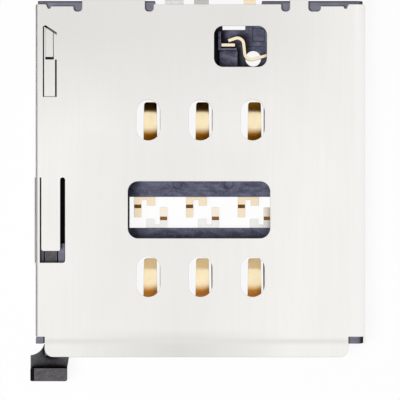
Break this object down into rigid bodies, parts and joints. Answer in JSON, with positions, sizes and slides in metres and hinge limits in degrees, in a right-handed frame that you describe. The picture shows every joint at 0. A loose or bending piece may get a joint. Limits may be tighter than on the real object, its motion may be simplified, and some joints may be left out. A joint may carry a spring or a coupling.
{
  "type": "sim card socket",
  "caption": "Flat tray socket for a sim card: folded steel cover with slots and a lip, moulded housing, gold spring contacts, tray detect switch and a push rod with eject lever.",
  "frame": {"origin": "centre of the card contact pattern, on the plane of the circuit board", "axes": "+Y runs into the socket from the tray mouth to the back wall, +Z away from the board, +X to the right seen from above with the mouth towards the viewer"},
  "size_m": [0.0164, 0.0188, 0.0015],
  "materials": {
    "cover_steel": "satin rolled stainless sheet",
    "housing_resin": "matt moulded heat resistant resin",
    "contact_gold": "gold plated spring alloy",
    "tinned_steel": "matt tin plating",
    "slider_resin": "fine matt moulded resin"
  },
  "bodies": {
    "base": {"shield_cover": "cover_steel", "housing": "housing_resin", "contact_c1": "contact_gold", "contact_c2": "contact_gold", "contact_c3": "contact_gold", "contact_c5": "contact_gold", "contact_c6": "contact_gold", "contact_c7": "contact_gold", "detect_spring": "contact_gold", "detect_contact": "contact_gold", "rear_ground_foot": "tinned_steel", "lever_pin": "tinned_steel"},
    "slider": {"eject_slider": "slider_resin"},
    "lever": {"eject_lever": "tinned_steel"}
  },
  "joints": [
    {"name": "slider_slide", "type": "slide", "parent": "base", "child": "slider", "axis": [0, -1, 0], "range_m": [0, 0.00116]},
    {"name": "lever_turn", "type": "hinge", "parent": "base", "child": "lever", "pos_m": [-0.00493, 0.00762, 0.00056], "axis": [0, 0, 1], "range_deg": [0, 28]}
  ],
  "couplings": [
    {"joint": "lever_turn", "follows": "slider_slide", "rad_per_m": 420.84}
  ]
}
